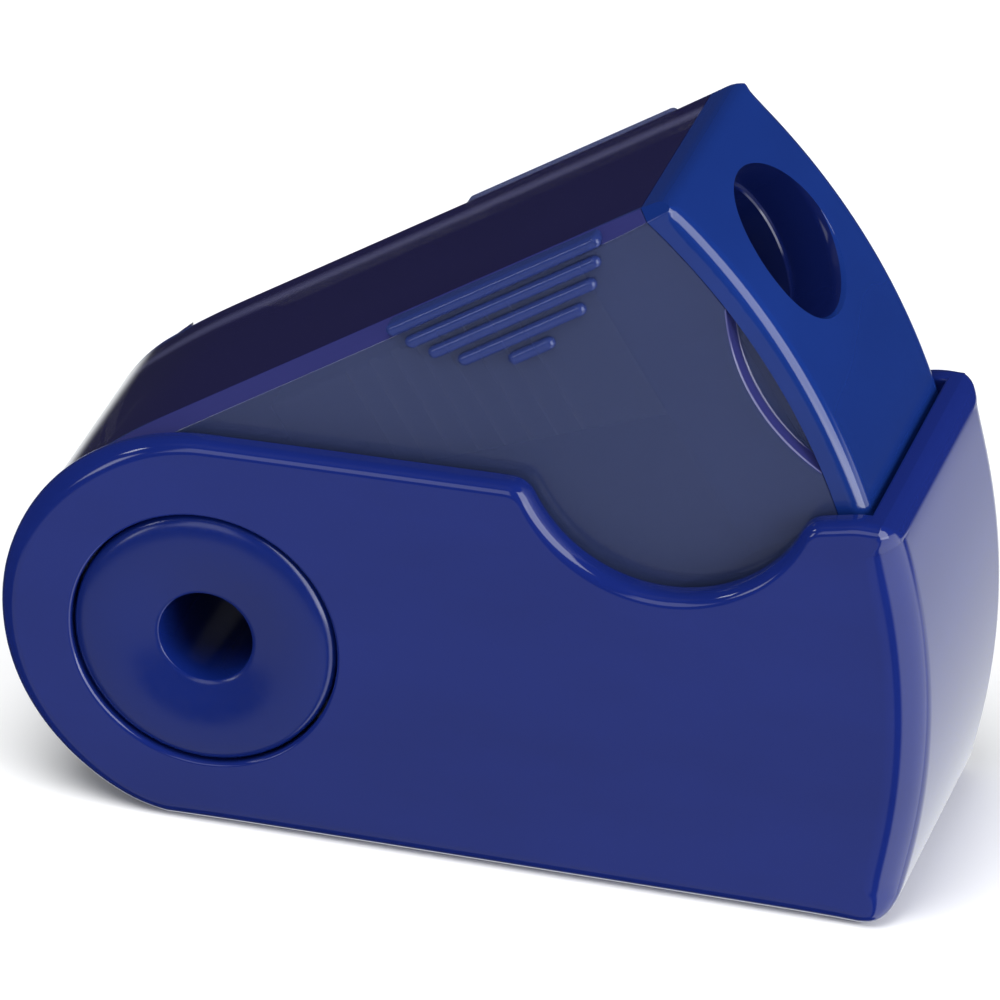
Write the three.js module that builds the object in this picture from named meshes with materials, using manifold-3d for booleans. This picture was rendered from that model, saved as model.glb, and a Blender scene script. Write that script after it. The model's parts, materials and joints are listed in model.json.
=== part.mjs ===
// Pocket pencil sharpener with a swivelling protective sleeve.
//
// A smoky plastic shavings container turns about a round hub inside an open-topped sleeve. The
// front of the container is closed by an opaque nose cap with the pencil hole, and the cap holds
// a metal wedge sharpener. Swung out of the sleeve, the cap shows its hole; swung in, the curved
// end wall of the sleeve covers it.
//
// Millimetres, +Z up. The origin is the centre of the flat base of the sleeve. X runs from the
// round hub end to the curved end wall. The model stands open, at OPEN_ANGLE.
import * as THREE from 'three';
import { mergeVertices } from 'three/addons/utils/BufferGeometryUtils.js';
import Module from 'manifold-3d';

const wasm = await Module();
wasm.setup();

// Swivel
const OPEN_ANGLE = THREE.MathUtils.degToRad(32.5);
const HUB_X = -20;
const HUB_Z = 12.1;

// Sleeve. Heights and radii are measured from the hub axis.
const SLEEVE_WIDTH = 20.6;
const SLEEVE_WALL = 1.6;
const HEEL = { z: 0.2, radius: 12.5 };
const END_OUTER_RADIUS = 42.6;
const END_INNER_RADIUS = 41.15;
const BRIM = { x: 35.4, z: 13.35 };
const LIP = { x: 38.6, z: 14.0 };
const FLOOR_THICKNESS = 1.4;
const FLOOR_START = 4;
const THUMB_NOTCH = { x: 26.95, z: 16.2, radius: 8.75 };
const HUB_HOLE_RADIUS = 8;
const END_WALL_DEPTH = 4;

// Container, in its closed position
const SIDE_GAP = 0.25;
const CONTAINER_HALF = SLEEVE_WIDTH / 2 - SLEEVE_WALL - SIDE_GAP;
const CONTAINER_TOP = 12.5;
const CONTAINER_BOTTOM = -10.3;
const CONTAINER_WALL = 1.2;
const BACK_RADIUS = 12.2;
const BACK_END = THREE.MathUtils.degToRad(225);
const BACK_FOOT_X = -5.5;
const BACK_TOP_X = 2;
const TOP_CHAMFER = 1;
const JOINT_RADIUS = 39.1;
const NAIL_RECESS = { x: 49.3, z: -0.3, radius: 12.1, depth: 0.7 };
const STEM_HOLE_RADIUS = 4.7;

// Grip ribs, which show through the thumb notch when the sharpener is shut. They fill a circle.
const RIB_HEIGHTS = [12.05, 10.95, 9.85, 8.75, 7.65];
const RIB_FIELD = { x: 27, z: 15.6, radius: 8.1 };
const RIB_WIDTH = 0.5;
const RIB_PROUD = 0.4;

// Nose cap
const GAP = 0.3;
const CAP_RADIUS = 40.85;
const PLUG_START = 31.6;
const PLUG_WALL = 1;
const PENCIL_Z = 5.1;
const PENCIL_HOLE_RADIUS = 4.8;
const PENCIL_SEAT_RADIUS = 4.35;
const PENCIL_STEP_X = 37.6;
const CAP_FRONT_WALL = 0.5;
const PLUG_FRONT_WALL = 1.5;

// Wedge sharpener
const BLOCK = { start: 9.2, end: 34.2, half: 5.7, top: 10 };
const FACE_ANGLE = THREE.MathUtils.degToRad(11.7);
const FACE_PIVOT = { x: 18.6, z: 2.6 };
const CONE_RADIUS = 4.35;
const TIP_HOLE_RADIUS = 0.6;
const SHAVINGS_MOUTH = { width: 2.4, endMargin: 3 };
const GRIP_GROOVES = { count: 8, start: 14.5, pitch: 1.6, width: 0.6, depth: 0.3 };

// Blade and its screw, in the frame of the sloping face, which is its plane z = 0. The blade lies
// in a seat cut into the face, where its edge just reaches the cone. Its back edge meets a lip.
const BLADE = { start: -8.5, end: 14.5, edge: 0.4, back: -4.8, z: 0.8, thickness: 0.6 };
const SCREW_Y = -2.4;
const SCREW = { radius: 1.2, headRadius: 2.3, headHeight: 1.4, tip: 4 };
const SCREW_SLOT = { width: 0.6, depth: 0.5 };

// Hub buttons
const BUTTON_RADIUS = 7.7;
const BUTTON_CREST_RADIUS = 5.2;
const EYELET_RADIUS = 2.8;
const STEM_RADIUS = 4.4;
const SPIGOT_RADIUS = 3.55;
const SPIGOT_LENGTH = 2.5;
const DISH_DEPTH = 0.55;

// Facets in a full circle
const COARSE = 48;
const FINE = 96;
const FINEST = 240;

// ---- Helpers ----------------------------------------------------------------------------------

function toSolid(geometry) {
  const bare = geometry.clone();
  bare.deleteAttribute('normal');
  bare.deleteAttribute('uv');
  const welded = mergeVertices(bare, 1e-4);
  const mesh = new wasm.Mesh({
    numProp: 3,
    vertProperties: new Float32Array(welded.attributes.position.array),
    triVerts: new Uint32Array(welded.index.array),
  });
  return new wasm.Manifold(mesh);
}

function toGeometry(solid) {
  const { vertProperties, triVerts } = solid.getMesh();
  const geometry = new THREE.BufferGeometry();
  geometry.setAttribute('position', new THREE.BufferAttribute(vertProperties, 3));
  geometry.setIndex(new THREE.BufferAttribute(triVerts, 1));
  geometry.computeVertexNormals();
  return geometry;
}

// A shape drawn in the XZ plane, filled from y0 to y1, with the given facets in each of its arcs.
function slab(shape, y0, y1, curveSegments = 12) {
  const settings = { depth: y1 - y0, bevelEnabled: false, curveSegments };
  const geometry = new THREE.ExtrudeGeometry(shape, settings);
  geometry.rotateX(Math.PI / 2);
  geometry.translate(0, y1, 0);
  return toSolid(geometry);
}

function box(x0, x1, y0, y1, z0, z1) {
  const geometry = new THREE.BoxGeometry(x1 - x0, y1 - y0, z1 - z0);
  geometry.translate((x0 + x1) / 2, (y0 + y1) / 2, (z0 + z1) / 2);
  return toSolid(geometry);
}

// A round bar along Y, between y0 and y1.
function barY(x, z, radius, y0, y1, segments = COARSE) {
  const geometry = new THREE.CylinderGeometry(radius, radius, y1 - y0, segments);
  geometry.translate(x, (y0 + y1) / 2, z);
  return toSolid(geometry);
}

// Turns a closed profile of [distance, radius] pairs about the X axis.
function turnedX(profile, segments = COARSE) {
  const points = profile.map(([along, radius]) => new THREE.Vector2(radius, along));
  const geometry = new THREE.LatheGeometry(points, segments);
  geometry.rotateZ(-Math.PI / 2);
  return toSolid(geometry);
}

// Two solids that mirror each other across the middle plane, from inner to outer along Y.
function onBothSides(inner, outer, make) {
  return make(inner, outer).add(make(-outer, -inner));
}

// How far a circle reaches sideways at height z above its centre.
function reachAt(radius, z) {
  return Math.sqrt(radius * radius - z * z);
}

// ---- Sleeve -----------------------------------------------------------------------------------

function sleeveSideShape() {
  const shape = new THREE.Shape();
  const slope = Math.atan2(BRIM.z - HEEL.z - HEEL.radius, BRIM.x);
  const heelTop = Math.PI / 2 + slope;
  const heelFoot = Math.PI + Math.asin((HUB_Z + HEEL.z) / HEEL.radius);
  shape.moveTo(reachAt(END_OUTER_RADIUS, HUB_Z), -HUB_Z);
  shape.absarc(0, 0, END_OUTER_RADIUS, -Math.asin(HUB_Z / END_OUTER_RADIUS),
    Math.asin(LIP.z / END_OUTER_RADIUS), false);
  shape.lineTo(LIP.x, LIP.z);
  shape.lineTo(BRIM.x, BRIM.z);
  shape.absarc(0, HEEL.z, HEEL.radius, heelTop, heelFoot, false);
  return shape;
}

function makeSleeve() {
  const half = SLEEVE_WIDTH / 2;
  const side = sleeveSideShape();
  const walls = onBothSides(half - SLEEVE_WALL, half, (y0, y1) => slab(side, y0, y1, 28));
  const core = slab(side, -half, half, 28);
  const floorRegion = box(FLOOR_START, END_OUTER_RADIUS, -half, half, -HUB_Z, FLOOR_THICKNESS - HUB_Z);
  const insideEnd = barY(0, 0, END_INNER_RADIUS, -half - 1, half + 1, FINEST);
  const endRegion = box(LIP.x - END_WALL_DEPTH, END_OUTER_RADIUS + 1, -half, half, -HUB_Z, LIP.z);
  const endWall = core.intersect(endRegion).subtract(insideEnd);
  const floor = core.intersect(floorRegion);
  const notch = barY(THUMB_NOTCH.x, THUMB_NOTCH.z, THUMB_NOTCH.radius, -half - 1, half + 1, FINE);
  const hubHole = barY(0, 0, HUB_HOLE_RADIUS, -half - 1, half + 1, FINE);
  return walls.add(endWall).add(floor).subtract(notch).subtract(hubHole);
}

// ---- Container --------------------------------------------------------------------------------

function containerSideShape(inset, frontRadius) {
  const top = CONTAINER_TOP - inset;
  const bottom = CONTAINER_BOTTOM + inset;
  const back = BACK_RADIUS - inset;
  const shape = new THREE.Shape();
  shape.moveTo(BACK_FOOT_X, bottom);
  shape.lineTo(reachAt(frontRadius, bottom), bottom);
  shape.absarc(0, 0, frontRadius, Math.asin(bottom / frontRadius),
    Math.asin(top / frontRadius), false);
  shape.lineTo(BACK_TOP_X, top);
  shape.absarc(0, 0, back, Math.PI / 2, BACK_END, false);
  return shape;
}

// The cross section that the container and the cap share, with its two chamfered top edges.
function crossSection(x0, x1) {
  const half = CONTAINER_HALF;
  const shape = new THREE.Shape();
  shape.moveTo(-half, CONTAINER_BOTTOM - 5);
  shape.lineTo(half, CONTAINER_BOTTOM - 5);
  shape.lineTo(half, CONTAINER_TOP - TOP_CHAMFER);
  shape.lineTo(half - TOP_CHAMFER, CONTAINER_TOP);
  shape.lineTo(TOP_CHAMFER - half, CONTAINER_TOP);
  shape.lineTo(-half, CONTAINER_TOP - TOP_CHAMFER);
  const geometry = new THREE.ExtrudeGeometry(shape, { depth: x1 - x0, bevelEnabled: false });
  geometry.rotateX(Math.PI / 2);
  geometry.rotateZ(Math.PI / 2);
  geometry.translate(x0, 0, 0);
  return toSolid(geometry);
}

function makeRibPair(height) {
  const reach = reachAt(RIB_FIELD.radius, RIB_FIELD.z - height);
  return onBothSides(CONTAINER_HALF - TOP_CHAMFER, CONTAINER_HALF + RIB_PROUD, (y0, y1) => box(
    RIB_FIELD.x - reach, RIB_FIELD.x + reach, y0, y1, height - RIB_WIDTH / 2, height + RIB_WIDTH / 2));
}

function makeContainer() {
  const half = CONTAINER_HALF;
  const innerHalf = half - CONTAINER_WALL;
  const body = slab(containerSideShape(0, JOINT_RADIUS), -half, half, 24)
    .intersect(crossSection(-BACK_RADIUS - 1, JOINT_RADIUS + 1));
  const cavity = slab(containerSideShape(CONTAINER_WALL, JOINT_RADIUS + 3), -innerHalf, innerHalf, 16);
  const stemHole = barY(0, 0, STEM_HOLE_RADIUS, -half - 1, half + 1);
  const recess = onBothSides(half - NAIL_RECESS.depth, half + 1,
    (y0, y1) => barY(NAIL_RECESS.x, NAIL_RECESS.z, NAIL_RECESS.radius, y0, y1, FINE));
  let solid = body.subtract(cavity).subtract(stemHole).subtract(recess);
  for (const height of RIB_HEIGHTS) {
    solid = solid.add(makeRibPair(height));
  }
  return solid;
}

// ---- Nose cap ---------------------------------------------------------------------------------

function makeNoseCap() {
  const half = CONTAINER_HALF;
  const plugHalf = half - CONTAINER_WALL - GAP;
  const plugTop = CONTAINER_TOP - CONTAINER_WALL - GAP;
  const plugBottom = CONTAINER_BOTTOM + CONTAINER_WALL + GAP;
  const socketHalf = BLOCK.half + GAP;
  const socketTop = BLOCK.top + GAP;
  const socketBottom = faceHeight(BLOCK.end) - GAP;

  const disc = barY(0, 0, CAP_RADIUS, -half, half, FINEST);
  const inside = barY(0, 0, JOINT_RADIUS + GAP, -half - 1, half + 1, FINEST);
  const capRegion = box(PLUG_START, CAP_RADIUS + 1, -half, half, CONTAINER_BOTTOM, CONTAINER_TOP);
  const shell = disc.intersect(capRegion)
    .intersect(crossSection(PLUG_START, CAP_RADIUS + 1))
    .subtract(inside);

  const plug = box(PLUG_START, CAP_RADIUS, -plugHalf, plugHalf, plugBottom, plugTop)
    .intersect(barY(0, 0, JOINT_RADIUS + GAP + CAP_FRONT_WALL, -half, half, FINEST));
  const socket = box(PLUG_START - 1, BLOCK.end + GAP, -socketHalf, socketHalf, socketBottom, socketTop);
  const pocket = box(PLUG_START - 1, JOINT_RADIUS - PLUG_FRONT_WALL, PLUG_WALL - plugHalf,
    plugHalf - PLUG_WALL, plugBottom + PLUG_WALL, socketBottom - PLUG_WALL);
  const pencilHole = turnedX([
    [BLOCK.end - 1, 0],
    [BLOCK.end - 1, PENCIL_SEAT_RADIUS],
    [PENCIL_STEP_X, PENCIL_SEAT_RADIUS],
    [PENCIL_STEP_X, PENCIL_HOLE_RADIUS],
    [CAP_RADIUS + 1, PENCIL_HOLE_RADIUS],
    [CAP_RADIUS + 1, 0],
  ]).translate([0, 0, PENCIL_Z]);
  return shell.add(plug).subtract(socket).subtract(pocket).subtract(pencilHole);
}

// ---- Wedge sharpener --------------------------------------------------------------------------

// Height of the sloping lower face at x.
function faceHeight(x) {
  return FACE_PIVOT.z - (x - FACE_PIVOT.x) * Math.tan(FACE_ANGLE);
}

// Puts a solid of the sloping face's own frame into the container's frame.
function ontoFace(solid) {
  return solid.rotate([0, THREE.MathUtils.radToDeg(FACE_ANGLE), 0])
    .translate([FACE_PIVOT.x, 0, FACE_PIVOT.z]);
}

// A round bar on the screw's axis, in the face's frame.
function screwBar(radius, z0, z1) {
  const geometry = new THREE.CylinderGeometry(radius, radius, z1 - z0, COARSE / 2);
  geometry.rotateX(Math.PI / 2);
  geometry.translate(0, SCREW_Y, (z0 + z1) / 2);
  return toSolid(geometry);
}

function makeSharpenerBlock() {
  const side = new THREE.Shape();
  side.moveTo(BLOCK.start, faceHeight(BLOCK.start));
  side.lineTo(BLOCK.end, faceHeight(BLOCK.end));
  side.lineTo(BLOCK.end, BLOCK.top);
  side.lineTo(BLOCK.start, BLOCK.top);

  const tipX = BLOCK.end - (CONE_RADIUS - TIP_HOLE_RADIUS) / Math.tan(FACE_ANGLE);
  const cone = turnedX([
    [BLOCK.start - 1, 0],
    [BLOCK.start - 1, TIP_HOLE_RADIUS],
    [tipX, TIP_HOLE_RADIUS],
    [BLOCK.end, CONE_RADIUS],
    [BLOCK.end + 1, CONE_RADIUS],
    [BLOCK.end + 1, 0],
  ]).translate([0, 0, PENCIL_Z]);

  const below = faceHeight(BLOCK.end) - 1;
  const seatTop = BLADE.z + BLADE.thickness + GAP;
  const seat = ontoFace(box(2 * BLADE.start, 2 * BLADE.end, BLADE.back - GAP, BLADE.edge + GAP,
    -2, seatTop));
  const mouth = box(tipX, BLOCK.end - SHAVINGS_MOUTH.endMargin, BLADE.edge,
    BLADE.edge + SHAVINGS_MOUTH.width, below, PENCIL_Z);
  const thread = ontoFace(screwBar(SCREW.radius + GAP, -2, SCREW.tip + GAP));
  let solid = slab(side, -BLOCK.half, BLOCK.half);
  for (const hollow of [cone, seat, mouth, thread]) {
    solid = solid.subtract(hollow);
  }
  for (let i = 0; i < GRIP_GROOVES.count; i += 1) {
    const x = GRIP_GROOVES.start + i * GRIP_GROOVES.pitch;
    solid = solid.subtract(onBothSides(BLOCK.half - GRIP_GROOVES.depth, BLOCK.half + 1,
      (y0, y1) => box(x, x + GRIP_GROOVES.width, y0, y1, below, BLOCK.top + 1)));
  }
  return solid;
}

function makeBlade() {
  const plate = box(BLADE.start, BLADE.end, BLADE.back, BLADE.edge, BLADE.z, BLADE.z + BLADE.thickness);
  return ontoFace(plate.subtract(screwBar(SCREW.radius + GAP, 0, BLADE.z + BLADE.thickness + 1)));
}

function makeBladeScrew() {
  const headTop = BLADE.z - GAP;
  const headFace = headTop - SCREW.headHeight;
  const shank = screwBar(SCREW.radius, headFace + SCREW_SLOT.depth, SCREW.tip);
  const head = screwBar(SCREW.headRadius, headFace, headTop);
  const slot = box(-SCREW.headRadius, SCREW.headRadius, SCREW_Y - SCREW_SLOT.width / 2,
    SCREW_Y + SCREW_SLOT.width / 2, headFace - 1, headFace + SCREW_SLOT.depth);
  return ontoFace(shank.add(head).subtract(slot));
}

// ---- Hub buttons ------------------------------------------------------------------------------

// The disc fills the sleeve's hole, and the hollow stem crosses half of the container. The near
// stem ends in a spigot that plugs into the far stem.
function hubButtonGeometry(hasSpigot) {
  const face = SLEEVE_WIDTH / 2;
  const back = CONTAINER_HALF + GAP;
  const stemEnd = GAP / 2;
  const stepRadius = hasSpigot ? SPIGOT_RADIUS : SPIGOT_RADIUS + GAP;
  const stepEnd = hasSpigot ? -SPIGOT_LENGTH : SPIGOT_LENGTH + GAP;
  const profile = [
    [STEM_RADIUS, back],
    [BUTTON_RADIUS, back],
    [BUTTON_RADIUS, face - DISH_DEPTH - 0.25],
    [BUTTON_RADIUS - 0.2, face - DISH_DEPTH],
    [BUTTON_CREST_RADIUS + 1.1, face - DISH_DEPTH / 4],
    [BUTTON_CREST_RADIUS, face],
    [BUTTON_CREST_RADIUS - 1, face - DISH_DEPTH / 5],
    [EYELET_RADIUS + 0.35, face - DISH_DEPTH],
    [EYELET_RADIUS, face - 3 * DISH_DEPTH],
    [EYELET_RADIUS, stepEnd],
    [stepRadius, stepEnd],
    [stepRadius, stemEnd],
    [STEM_RADIUS, stemEnd],
    [STEM_RADIUS, back],
  ];
  const points = profile.map(([radius, y]) => new THREE.Vector2(radius, y));
  return toGeometry(toSolid(new THREE.LatheGeometry(points, COARSE)));
}

// ---- Materials and assembly -------------------------------------------------------------------

const bluePlastic = new THREE.MeshStandardMaterial({ color: 0x1c2f8c, roughness: 0.28, metalness: 0 });
const capPlastic = new THREE.MeshStandardMaterial({ color: 0x123a96, roughness: 0.25, metalness: 0 });
const smokyPlastic = new THREE.MeshStandardMaterial({
  color: 0x3c4066, roughness: 0.15, metalness: 0, transparent: true, opacity: 0.55,
});
const satinPlastic = new THREE.MeshStandardMaterial({ color: 0x1f3a8c, roughness: 0.5, metalness: 0 });
const magnesium = new THREE.MeshStandardMaterial({ color: 0x9a9ca3, roughness: 0.42, metalness: 0.9 });
const bladeSteel = new THREE.MeshStandardMaterial({ color: 0xb9bcc2, roughness: 0.22, metalness: 1 });
const screwSteel = new THREE.MeshStandardMaterial({ color: 0xc8cacf, roughness: 0.3, metalness: 1 });

function named(name, geometry, material) {
  const mesh = new THREE.Mesh(geometry, material);
  mesh.name = name;
  return mesh;
}

const sharpener = new THREE.Group();
sharpener.position.set(HUB_X, 0, HUB_Z);
sharpener.add(named('sleeve', toGeometry(makeSleeve()), bluePlastic));

const swingingPart = new THREE.Group();
swingingPart.rotation.y = -OPEN_ANGLE;
swingingPart.add(named('container', toGeometry(makeContainer()), smokyPlastic));
swingingPart.add(named('nose_cap', toGeometry(makeNoseCap()), capPlastic));
swingingPart.add(named('sharpener_block', toGeometry(makeSharpenerBlock()), magnesium));
swingingPart.add(named('blade', toGeometry(makeBlade()), bladeSteel));
swingingPart.add(named('blade_screw', toGeometry(makeBladeScrew()), screwSteel));

const nearButton = named('near_hub_button', hubButtonGeometry(true), satinPlastic);
nearButton.rotation.z = Math.PI;
swingingPart.add(nearButton);
swingingPart.add(named('far_hub_button', hubButtonGeometry(false), satinPlastic));
sharpener.add(swingingPart);

export default sharpener;
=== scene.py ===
"""Looks for the pocket pencil sharpener with a swivelling sleeve.

Lengths are in millimetres until place() puts a finished mesh in the row frame. Every piece is
modelled about the hub axis: X towards the nose, Y along the hub, Z up, with the box shut level.
"""
import json
import math

import bmesh
import bpy
from mathutils import Matrix, Vector


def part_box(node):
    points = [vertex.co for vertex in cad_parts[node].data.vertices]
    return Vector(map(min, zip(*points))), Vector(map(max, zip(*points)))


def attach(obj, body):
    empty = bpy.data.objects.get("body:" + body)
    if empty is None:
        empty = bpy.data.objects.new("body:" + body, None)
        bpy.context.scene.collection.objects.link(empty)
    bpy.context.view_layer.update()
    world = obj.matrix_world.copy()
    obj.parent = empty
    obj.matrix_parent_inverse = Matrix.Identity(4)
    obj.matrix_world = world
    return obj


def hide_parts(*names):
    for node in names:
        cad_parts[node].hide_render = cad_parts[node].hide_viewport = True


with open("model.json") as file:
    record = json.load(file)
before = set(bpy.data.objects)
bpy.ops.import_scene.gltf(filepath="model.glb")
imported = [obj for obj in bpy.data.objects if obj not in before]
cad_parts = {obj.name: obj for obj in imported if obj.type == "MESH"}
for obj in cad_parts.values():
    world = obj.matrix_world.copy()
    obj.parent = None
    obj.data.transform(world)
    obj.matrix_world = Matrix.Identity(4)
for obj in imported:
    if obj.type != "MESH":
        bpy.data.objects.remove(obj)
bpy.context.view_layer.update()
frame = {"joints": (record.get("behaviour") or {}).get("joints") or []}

MM = 0.001
SLEEVE_BODY = "sleeve_body"
BOX_BODY = "box_body"
SWIVEL = frame["joints"][0]
HUB = Vector(SWIVEL["pos_m"])
SHUT_TILT = 1.5
OPEN_ANGLE = SWIVEL["range_deg"][1] + SHUT_TILT


def span(node, axis):
    """Size of a CAD node along one axis, in millimetres."""
    low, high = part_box(node)
    return (high[axis] - low[axis]) / MM


# Sizes shared by several pieces, in millimetres and degrees
HUB_HEIGHT = HUB.z / MM
SLEEVE_HALF = span("sleeve", 1) / 2
WALL = 1.6
BOX_HALF = span("nose_cap", 1) / 2
BOX_TOP = 12.5
BOX_BOTTOM = -10.3
BOX_WALL = 1.2
JOINT_RADIUS = 39.1
CAP_RADIUS = 40.85
PENCIL_HEIGHT = 5.1
HUB_HOLE_RADIUS = 8.0
SHARPENER_START = 9.2
SHARPENER_END = 34.2
SHARPENER_TOP = 10.0
SHARPENER_HALF = 5.7
FACE_ANGLE = 11.7
FACE_X = 18.6
FACE_Z = 2.6
BEYOND = 20


# ---- Outlines ------------------------------------------------------------------------------------


def arc(radius, start, end, x=0.0, z=0.0, step=2.0):
    """Points on a circle in the XZ plane, from one angle to another, in degrees."""
    count = max(2, math.ceil(abs(end - start) / step))
    angles = [math.radians(start + (end - start) * i / count) for i in range(count + 1)]
    return [(x + radius * math.cos(a), z + radius * math.sin(a)) for a in angles]


def bend(start, control, end, count=10):
    """Points on a quadratic curve."""
    points = []
    for i in range(count + 1):
        t = i / count
        a, b, c = (1 - t) ** 2, 2 * t * (1 - t), t * t
        points.append(tuple(a * start[k] + b * control[k] + c * end[k] for k in (0, 1)))
    return points


def line(start, end, step=1.5):
    """Evenly spaced points on a straight line."""
    count = max(1, math.ceil(math.dist(start, end) / step))
    return [tuple(start[k] + (end[k] - start[k]) * i / count for k in (0, 1)) for i in range(count + 1)]


def angle_at(radius, z):
    return math.degrees(math.asin(z / radius))


def reach(radius, z):
    return math.sqrt(radius * radius - z * z)


def without_repeats(points, nearest=1e-4):
    kept = []
    for p in points:
        if not kept or math.dist(p, kept[-1]) > nearest:
            kept.append(p)
    if math.dist(kept[0], kept[-1]) < nearest:
        kept.pop()
    return kept


def round_corner(points, corner, length, count=9):
    """Replaces the corner at a given place by a curve that starts and ends this far from it."""
    middle = min(range(len(points)), key=lambda i: math.dist(points[i], corner))
    ends = []
    for side in (-1, 1):
        i = middle
        while math.dist(points[i + side], points[middle]) < length:
            i += side
        a, b = points[i], points[i + side]
        before, after = math.dist(a, points[middle]), math.dist(b, points[middle])
        t = (length - before) / (after - before)
        ends.append((i + side, tuple(a[k] + (b[k] - a[k]) * t for k in (0, 1))))
    (first, start), (last, end) = ends
    return points[:first + 1] + bend(start, points[middle], end, count) + points[last:]


# ---- Mesh tools ----------------------------------------------------------------------------------

# Edge profiles, as (inset, depth) pairs in parts of the width, from the flat face to the rim
ROUND = [(1 - math.sin(math.radians(a)), 1 - math.cos(math.radians(a))) for a in range(0, 91, 15)]
CHAMFER = [(1, 0), (0.93, 0.01), (0.87, 0.04), (0.81, 0.09)]
CHAMFER += [(depth, inset) for inset, depth in reversed(CHAMFER)]


def new_object(name, bm):
    mesh = bpy.data.meshes.new(name)
    bmesh.ops.recalc_face_normals(bm, faces=bm.faces)
    bm.to_mesh(mesh)
    bm.free()
    made = bpy.data.objects.new(name, mesh)
    bpy.context.scene.collection.objects.link(made)
    return made


def loft(rings, name):
    """A closed solid through rings of points, with a flat face at either end."""
    bm = bmesh.new()
    made = [[bm.verts.new(p) for p in ring] for ring in rings]
    for here, there in zip(made, made[1:]):
        for i in range(len(here)):
            j = (i + 1) % len(here)
            bm.faces.new((here[i], there[i], there[j], here[j]))
    bm.faces.new(made[0])
    bm.faces.new(made[-1])
    bmesh.ops.remove_doubles(bm, verts=bm.verts, dist=1e-5)
    bmesh.ops.dissolve_degenerate(bm, edges=bm.edges, dist=1e-6)
    return new_object(name, bm)


def prism(outline, y0, y1, name="prism"):
    """An outline in the XZ plane, filled from y0 to y1."""
    points = without_repeats(outline)
    return loft([[(x, y, z) for x, z in points] for y in (y0, y1)], name)


def inward(points):
    """For each point of a closed outline, the direction to its inside and how tightly it curves."""
    count = len(points)
    area = sum(a[0] * b[1] - b[0] * a[1] for a, b in zip(points, points[1:] + points[:1]))
    turn = 1 if area > 0 else -1
    made = []
    for i in range(count):
        before, here, after = (Vector(points[(i + k) % count]) for k in (-1, 0, 1))
        a, b = (here - before).normalized(), (after - here).normalized()
        along = (a + b).normalized()
        bending = turn * math.asin(max(-1, min(1, a.x * b.y - a.y * b.x)))
        run = ((here - before).length + (after - here).length) / 2
        tightest = run / bending if bending > 1e-4 else 1e4
        made.append((Vector((-along.y, along.x)) * turn / max(0.5, along.dot(a)), tightest))
    return made


def rounded_prism(outline, half, width_at, profile=ROUND, lean=None, spread=12):
    """An outline filled from -half to half, with both its rims rounded by the width at each point.

    The widths blend into each other, and none is wider than the outline's own curve is round. The
    far rim can lie further in than the near one, by the lean at each point.
    """
    points = without_repeats(outline)
    count = len(points)
    sides = inward(points)
    widths = [width_at(*p) for p in points]
    for _ in range(spread):
        widths = [(widths[i - 1] + 2 * widths[i] + widths[(i + 1) % count]) / 4 for i in range(count)]
    widths = [min(w, 0.85 * tightest) for w, (_, tightest) in zip(widths, sides)]
    for _ in range(2):
        between = [(widths[i - 1] + widths[(i + 1) % count]) / 2 for i in range(count)]
        widths = [min(w, b + 0.02) for w, b in zip(widths, between)]
    rings = []
    for side, order in ((-1, profile), (1, list(reversed(profile)))):
        for inset, depth in order:
            ring = []
            for p, (normal, _), w in zip(points, sides, widths):
                further = w * inset + (lean(*p) if lean and side > 0 else 0)
                y = side * (half - w * depth)
                ring.append((p[0] + normal.x * further, y, p[1] + normal.y * further))
            rings.append(ring)
    return loft(rings, "rounded_prism")


def block(x0, x1, y0, y1, z0, z1):
    return prism([(x0, z0), (x1, z0), (x1, z1), (x0, z1)], y0, y1)


def turned(profile, name="turned", segments=96, about="Y"):
    """Turns a closed loop of (radius, distance) pairs about the Y or the X axis."""
    bm = bmesh.new()
    rings = []
    for i in range(segments):
        a = 2 * math.pi * i / segments
        ring = []
        for radius, along in profile:
            across = (radius * math.cos(a), radius * math.sin(a))
            ring.append(bm.verts.new((across[0], along, across[1]) if about == "Y" else (along, *across)))
        rings.append(ring)
    count = len(profile)
    for i in range(segments):
        here, there = rings[i], rings[(i + 1) % segments]
        for k in range(count):
            following = (k + 1) % count
            bm.faces.new((here[k], here[following], there[following], there[k]))
    bmesh.ops.remove_doubles(bm, verts=bm.verts, dist=1e-5)
    bmesh.ops.dissolve_degenerate(bm, edges=bm.edges, dist=1e-6)
    return new_object(name, bm)


def disc(radius, segments=720):
    """A cylinder about the hub axis that reaches well past both sides."""
    return turned([(0, -BEYOND), (radius, -BEYOND), (radius, BEYOND), (0, BEYOND)], "disc", segments)


def combine(target, tool, operation):
    """Joins, cuts or intersects target with tool, which is used up."""
    modifier = target.modifiers.new("combine", "BOOLEAN")
    modifier.operation = operation
    modifier.solver = "EXACT"
    modifier.object = tool
    apply_modifiers(target)
    bpy.data.objects.remove(tool)
    return target


def cut(target, *tools):
    for tool in tools:
        combine(target, tool, "DIFFERENCE")
    return target


def join(target, *tools):
    for tool in tools:
        combine(target, tool, "UNION")
    return target


def keep_inside(target, tool):
    return combine(target, tool, "INTERSECT")


def apply_modifiers(target):
    """Replaces the mesh by what its modifiers make of it, and removes them."""
    bpy.context.view_layer.update()
    graph = bpy.context.evaluated_depsgraph_get()
    mesh = bpy.data.meshes.new_from_object(target.evaluated_get(graph))
    target.modifiers.clear()
    target.data = mesh


def weld(target, split=True):
    """Merges doubled points and, with split, cuts faces of more than four corners into triangles."""
    bm = bmesh.new()
    bm.from_mesh(target.data)
    bmesh.ops.remove_doubles(bm, verts=bm.verts, dist=1e-4)
    if split:
        bmesh.ops.triangulate(bm, faces=[f for f in bm.faces if len(f.verts) > 4])
    bm.to_mesh(target.data)
    bm.free()


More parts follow.
